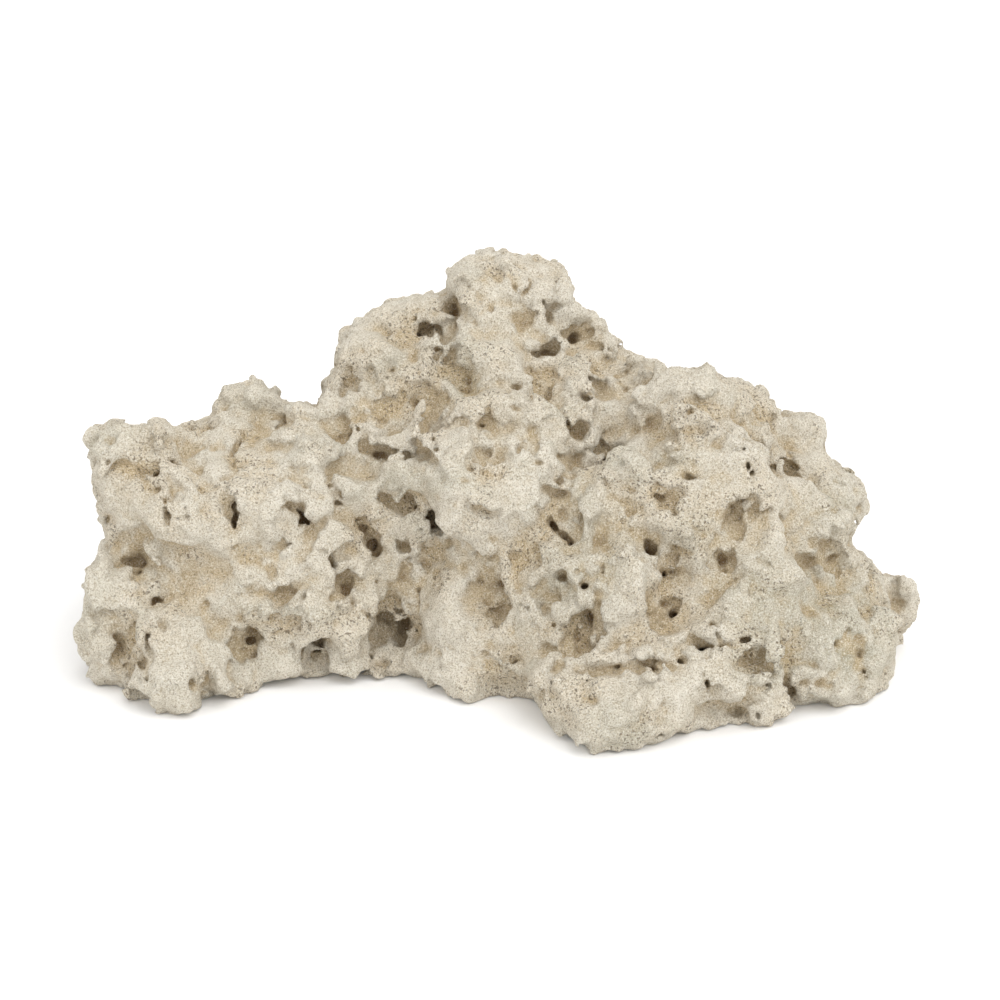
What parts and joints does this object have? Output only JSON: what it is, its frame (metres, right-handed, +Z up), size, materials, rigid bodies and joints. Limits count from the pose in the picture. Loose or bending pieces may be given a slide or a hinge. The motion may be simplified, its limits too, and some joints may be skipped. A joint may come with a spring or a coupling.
{
  "type": "aquarium base rock",
  "caption": "Irregular block of pale, porous reef limestone with pits, caves and ledges, used as the base of an aquarium layout.",
  "frame": {"origin": "under the middle of the stone's box, on the surface it rests on", "axes": "+Z up, +X along the stone's length to the right of its pictured side, which faces -Y"},
  "size_m": [0.3, 0.2, 0.138],
  "materials": {
    "stone": "dry, chalky and grainy, cream white with tan hollows and faint grey-green stains"
  },
  "bodies": {
    "root": {"base_rock": "stone"}
  },
  "joints": []
}
